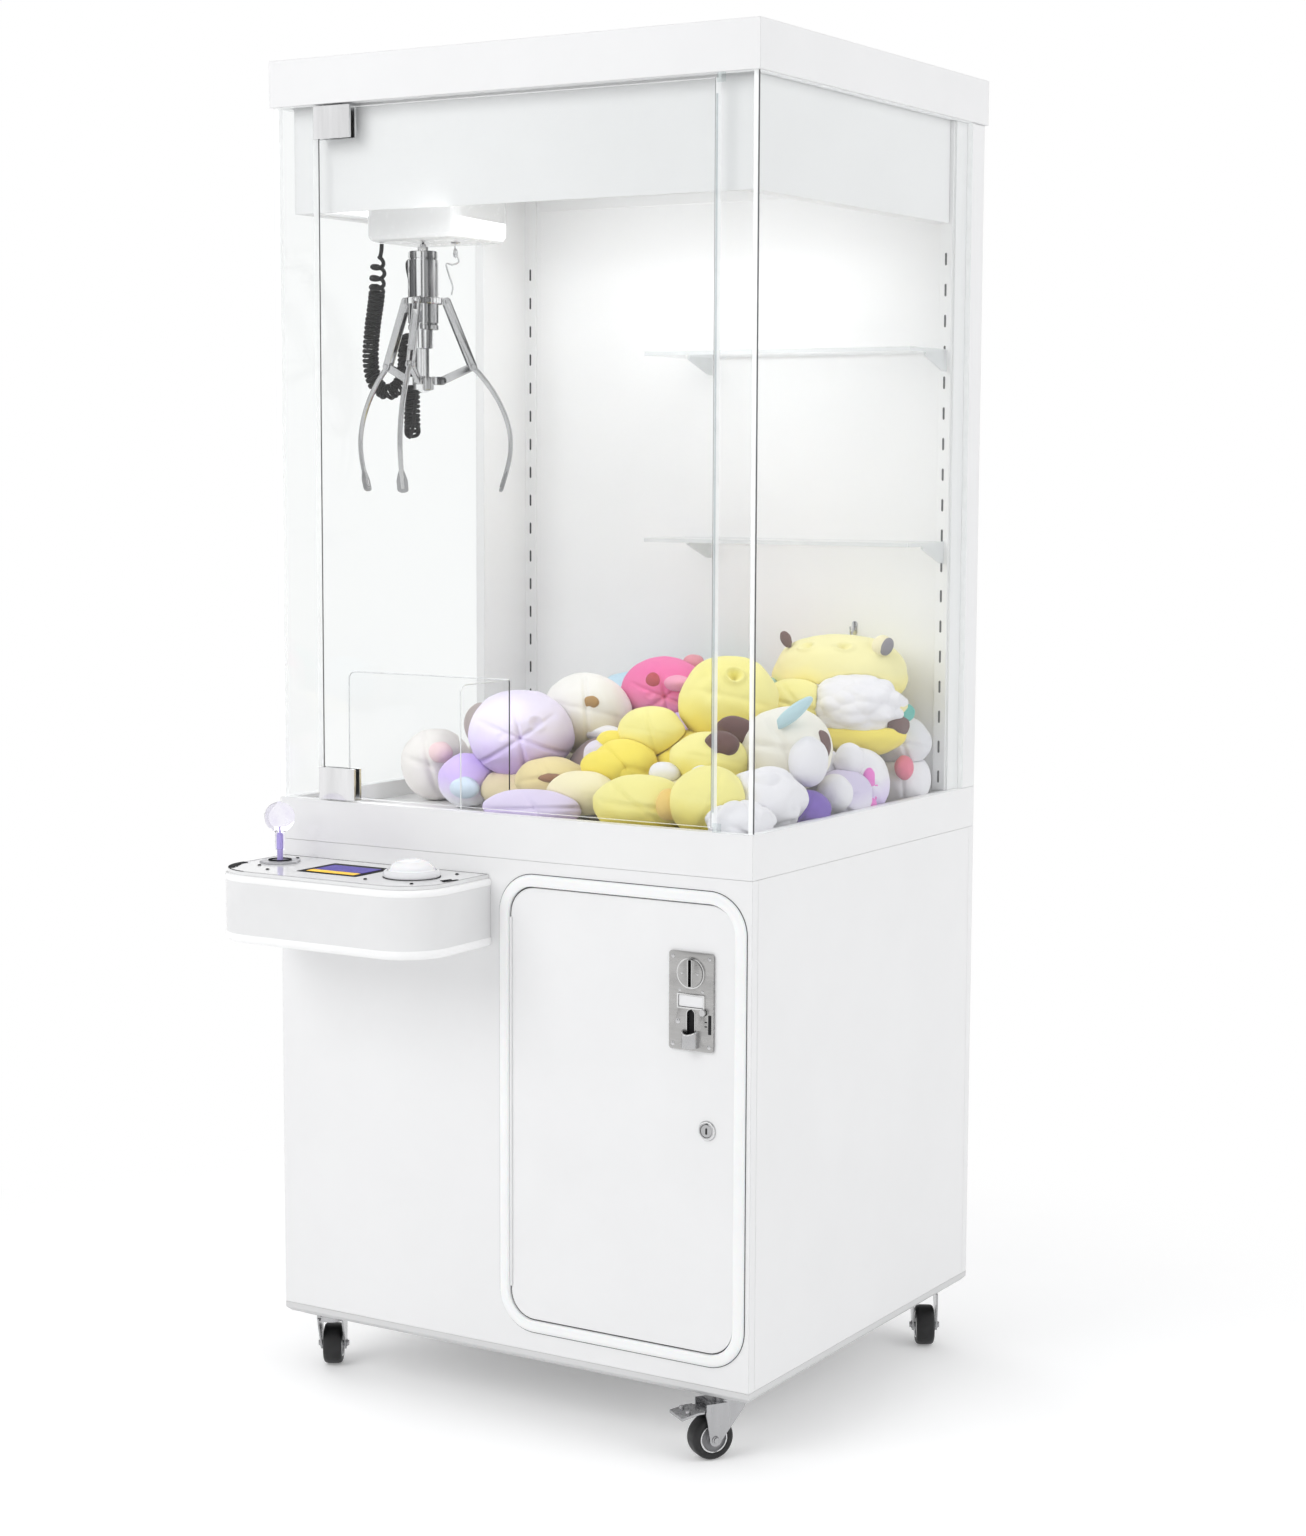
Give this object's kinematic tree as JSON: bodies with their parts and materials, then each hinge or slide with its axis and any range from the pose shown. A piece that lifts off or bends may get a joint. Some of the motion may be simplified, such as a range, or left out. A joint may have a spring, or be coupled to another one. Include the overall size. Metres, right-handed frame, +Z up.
{
  "type": "claw crane machine",
  "caption": "Claw crane machine on casters: glass play area with a three-finger claw on a gantry, plush prizes, joystick and button console, coin door, prize chute.",
  "frame": {"origin": "on the floor, under the centre of the overall bounding box", "axes": "+Z up, +X to the right along the front as the player sees it, -Y towards the player"},
  "size_m": [0.79, 0.85, 1.89],
  "materials": {
    "base_plate": "white laminated board, satin",
    "side_panel_left": "white laminated board, satin",
    "side_panel_right": "white laminated board, satin",
    "front_panel": "white laminated board, satin",
    "rear_panel": "white laminated board, satin",
    "deck_band": "white laminated board, satin",
    "rear_frame": "white laminated board, satin",
    "top_cap": "white laminated board, satin",
    "play_deck": "white laminated board",
    "valance": "white laminated board, satin",
    "glass_left": "clear float glass with polished edges",
    "glass_right": "clear float glass with polished edges",
    "glass_door": "clear float glass with polished edges",
    "glass_strip_left": "clear float glass with polished edges",
    "glass_strip_right": "clear float glass with polished edges",
    "shelf_upper": "clear acrylic",
    "shelf_lower": "clear acrylic",
    "chute_guard": "clear acrylic",
    "console_cover": "clear acrylic",
    "prize_flap": "smoked clear acrylic",
    "hinge_clamp_upper": "polished chrome plate",
    "hinge_clamp_lower": "polished chrome plate",
    "claw_solenoid": "polished chrome plate",
    "claw_hub": "polished chrome plate",
    "finger_front": "polished chrome plate",
    "finger_right": "polished chrome plate",
    "finger_left": "polished chrome plate",
    "link_front": "polished chrome plate",
    "link_right": "polished chrome plate",
    "link_left": "polished chrome plate",
    "door_lock": "polished chrome plate",
    "coin_reject_button": "polished chrome plate",
    "prize_chute": "galvanised sheet",
    "coin_box": "galvanised sheet",
    "coin_mech": "brushed stainless steel",
    "coin_door": "white powder coat",
    "door_light_frame": "milky light diffuser",
    "console_housing": "white, glossy",
    "display_unit": "dark screen",
    "joystick_base": "grey",
    "joystick_gimbal": "grey",
    "joystick_lever": "milky translucent ball on a steel rod",
    "drop_button": "milky white",
    "gantry_frame": "plain extrusion",
    "gantry_bridge": "plain extrusion",
    "gantry_carriage": "white shell",
    "hoist_string": "braided cord",
    "curly_cord": "black jacket",
    "caster_fork_front_right": "zinc plated",
    "caster_fork_front_left": "zinc plated",
    "caster_fork_rear_right": "zinc plated",
    "caster_fork_rear_left": "zinc plated",
    "brake_pedal": "zinc plated",
    "caster_wheel_front_right": "black tyre on a grey hub",
    "caster_wheel_front_left": "black tyre on a grey hub",
    "caster_wheel_rear_right": "black tyre on a grey hub",
    "caster_wheel_rear_left": "black tyre on a grey hub",
    "plush_pile_left": "short pile plush",
    "plush_pile_middle": "short pile plush",
    "plush_pile_right": "short pile plush"
  },
  "bodies": {
    "cabinet": {"base_plate": "base_plate", "side_panel_left": "side_panel_left", "side_panel_right": "side_panel_right", "front_panel": "front_panel", "rear_panel": "rear_panel", "deck_band": "deck_band", "play_deck": "play_deck", "prize_chute": "prize_chute", "chute_guard": "chute_guard", "rear_frame": "rear_frame", "shelf_upper": "shelf_upper", "shelf_lower": "shelf_lower", "glass_left": "glass_left", "glass_right": "glass_right", "glass_strip_left": "glass_strip_left", "glass_strip_right": "glass_strip_right", "top_cap": "top_cap", "valance": "valance", "gantry_frame": "gantry_frame", "door_light_frame": "door_light_frame", "console_housing": "console_housing", "console_cover": "console_cover", "display_unit": "display_unit", "joystick_base": "joystick_base", "coin_box": "coin_box", "plush_pile_left": "plush_pile_left", "plush_pile_middle": "plush_pile_middle", "plush_pile_right": "plush_pile_right"},
    "glass_door": {"glass_door": "glass_door", "hinge_clamp_upper": "hinge_clamp_upper", "hinge_clamp_lower": "hinge_clamp_lower"},
    "coin_door": {"coin_door": "coin_door", "coin_mech": "coin_mech"},
    "reject_button": {"coin_reject_button": "coin_reject_button"},
    "lock": {"door_lock": "door_lock"},
    "flap": {"prize_flap": "prize_flap"},
    "bridge": {"gantry_bridge": "gantry_bridge"},
    "carriage": {"gantry_carriage": "gantry_carriage", "hoist_string": "hoist_string", "curly_cord": "curly_cord"},
    "claw": {"claw_solenoid": "claw_solenoid"},
    "hub": {"claw_hub": "claw_hub"},
    "finger_front": {"finger_front": "finger_front"},
    "link_front": {"link_front": "link_front"},
    "finger_right": {"finger_right": "finger_right"},
    "link_right": {"link_right": "link_right"},
    "finger_left": {"finger_left": "finger_left"},
    "link_left": {"link_left": "link_left"},
    "gimbal": {"joystick_gimbal": "joystick_gimbal"},
    "lever": {"joystick_lever": "joystick_lever"},
    "button": {"drop_button": "drop_button"},
    "swivel_front_right": {"caster_fork_front_right": "caster_fork_front_right"},
    "wheel_front_right": {"caster_wheel_front_right": "caster_wheel_front_right"},
    "swivel_front_left": {"caster_fork_front_left": "caster_fork_front_left"},
    "wheel_front_left": {"caster_wheel_front_left": "caster_wheel_front_left"},
    "swivel_rear_right": {"caster_fork_rear_right": "caster_fork_rear_right"},
    "wheel_rear_right": {"caster_wheel_rear_right": "caster_wheel_rear_right"},
    "swivel_rear_left": {"caster_fork_rear_left": "caster_fork_rear_left"},
    "wheel_rear_left": {"caster_wheel_rear_left": "caster_wheel_rear_left"},
    "pedal": {"brake_pedal": "brake_pedal"}
  },
  "joints": [
    {"name": "glass_door_hinge", "type": "hinge", "parent": "cabinet", "child": "glass_door", "pos_m": [-0.3061, -0.249, 0.852], "axis": [0, 0, -1], "range_deg": [0, 100]},
    {"name": "coin_door_hinge", "type": "hinge", "parent": "cabinet", "child": "coin_door", "pos_m": [0.0112, -0.256, 0.15], "axis": [0, 0, -1], "range_deg": [0, 90]},
    {"name": "lock_turn", "type": "hinge", "parent": "coin_door", "child": "lock", "pos_m": [0.3246, -0.2545, 0.4526], "axis": [0, -1, 0], "range_deg": [0, 90]},
    {"name": "coin_reject_press", "type": "slide", "parent": "coin_door", "child": "reject_button", "axis": [0, 1, 0], "range_m": [0, 0.003], "stiffness_N_per_m": 400, "springref_m": -0.0005},
    {"name": "prize_flap_hinge", "type": "hinge", "parent": "cabinet", "child": "flap", "pos_m": [-0.3885, -0.176, 0.4965], "axis": [0, 1, 0], "range_deg": [0, 70]},
    {"name": "bridge_travel", "type": "slide", "parent": "cabinet", "child": "bridge", "axis": [0, 1, 0], "range_m": [0, 0.195]},
    {"name": "carriage_travel", "type": "slide", "parent": "bridge", "child": "carriage", "axis": [1, 0, 0], "range_m": [0, 0.49]},
    {"name": "claw_hoist", "type": "slide", "parent": "carriage", "child": "claw", "axis": [0, 0, -1], "range_m": [0, 0.2], "deforming": ["hoist_string"]},
    {"name": "claw_plunger", "type": "slide", "parent": "claw", "child": "hub", "axis": [0, 0, 1], "range_m": [0, 0.033]},
    {"name": "finger_front_pivot", "type": "hinge", "parent": "hub", "child": "finger_front", "pos_m": [-0.23615, -0.12514, 1.449], "axis": [0.9311, 0.3649, 0], "range_deg": [0, 36]},
    {"name": "finger_right_pivot", "type": "hinge", "parent": "hub", "child": "finger_right", "pos_m": [-0.22916, -0.0789, 1.449], "axis": [-0.7815, 0.6239, 0], "range_deg": [0, 36]},
    {"name": "finger_left_pivot", "type": "hinge", "parent": "hub", "child": "finger_left", "pos_m": [-0.2727, -0.09596, 1.449], "axis": [-0.1495, -0.9888, 0], "range_deg": [0, 36]},
    {"name": "link_front_pivot", "type": "hinge", "parent": "claw", "child": "link_front", "pos_m": [-0.23359, -0.13166, 1.5625], "axis": [0.9311, 0.3649, 0], "range_deg": [-4, 0]},
    {"name": "link_right_pivot", "type": "hinge", "parent": "claw", "child": "link_right", "pos_m": [-0.22479, -0.07343, 1.5625], "axis": [-0.7815, 0.6239, 0], "range_deg": [-4, 0]},
    {"name": "link_left_pivot", "type": "hinge", "parent": "claw", "child": "link_left", "pos_m": [-0.27962, -0.09492, 1.5625], "axis": [-0.1495, -0.9888, 0], "range_deg": [-4, 0]},
    {"name": "joystick_side", "type": "hinge", "parent": "cabinet", "child": "gimbal", "pos_m": [-0.342, -0.318, 0.745], "axis": [0, 1, 0], "range_deg": [-11, 11], "stiffness_Nm_per_rad": 0.8},
    {"name": "joystick_fore", "type": "hinge", "parent": "gimbal", "child": "lever", "pos_m": [-0.342, -0.318, 0.745], "axis": [1, 0, 0], "range_deg": [-11, 11], "stiffness_Nm_per_rad": 0.8},
    {"name": "drop_button_press", "type": "slide", "parent": "cabinet", "child": "button", "axis": [0, 0, -1], "range_m": [0, 0.004], "stiffness_N_per_m": 800, "springref_m": -0.003},
    {"name": "caster_swivel_front_right", "type": "hinge", "parent": "cabinet", "child": "swivel_front_right", "pos_m": [0.338, -0.215, 0.0762], "axis": [0, 0, 1], "continuous": true},
    {"name": "caster_swivel_front_left", "type": "hinge", "parent": "cabinet", "child": "swivel_front_left", "pos_m": [-0.338, -0.215, 0.0762], "axis": [0, 0, 1], "continuous": true},
    {"name": "caster_swivel_rear_right", "type": "hinge", "parent": "cabinet", "child": "swivel_rear_right", "pos_m": [0.338, 0.381, 0.0762], "axis": [0, 0, 1], "continuous": true},
    {"name": "caster_swivel_rear_left", "type": "hinge", "parent": "cabinet", "child": "swivel_rear_left", "pos_m": [-0.338, 0.381, 0.0762], "axis": [0, 0, 1], "continuous": true},
    {"name": "caster_wheel_front_right", "type": "hinge", "parent": "swivel_front_right", "child": "wheel_front_right", "pos_m": [0.32234, -0.23821, 0.03], "axis": [0.829, -0.5592, 0], "continuous": true},
    {"name": "caster_wheel_front_left", "type": "hinge", "parent": "swivel_front_left", "child": "wheel_front_left", "pos_m": [-0.35263, -0.19113, 0.03], "axis": [-0.8526, -0.5225, 0], "continuous": true},
    {"name": "caster_wheel_rear_right", "type": "hinge", "parent": "swivel_rear_right", "child": "wheel_rear_right", "pos_m": [0.35263, 0.35713, 0.03], "axis": [0.8526, 0.5225, 0], "continuous": true},
    {"name": "caster_wheel_rear_left", "type": "hinge", "parent": "swivel_rear_left", "child": "wheel_rear_left", "pos_m": [-0.34758, 0.35469, 0.03], "axis": [0.9397, -0.342, 0], "continuous": true},
    {"name": "brake_pedal_press", "type": "hinge", "parent": "swivel_front_right", "child": "pedal", "pos_m": [0.31899, -0.24319, 0.07], "axis": [0.829, -0.5592, 0], "range_deg": [0, 12]}
  ],
  "couplings": [
    {"joint": "finger_front_pivot", "follows": "claw_plunger", "rad_per_m": 18.813},
    {"joint": "finger_right_pivot", "follows": "claw_plunger", "rad_per_m": 18.813},
    {"joint": "finger_left_pivot", "follows": "claw_plunger", "rad_per_m": 18.813},
    {"joint": "link_front_pivot", "follows": "claw_plunger", "rad_per_m": -1.8674},
    {"joint": "link_right_pivot", "follows": "claw_plunger", "rad_per_m": -1.8674},
    {"joint": "link_left_pivot", "follows": "claw_plunger", "rad_per_m": -1.8674}
  ]
}
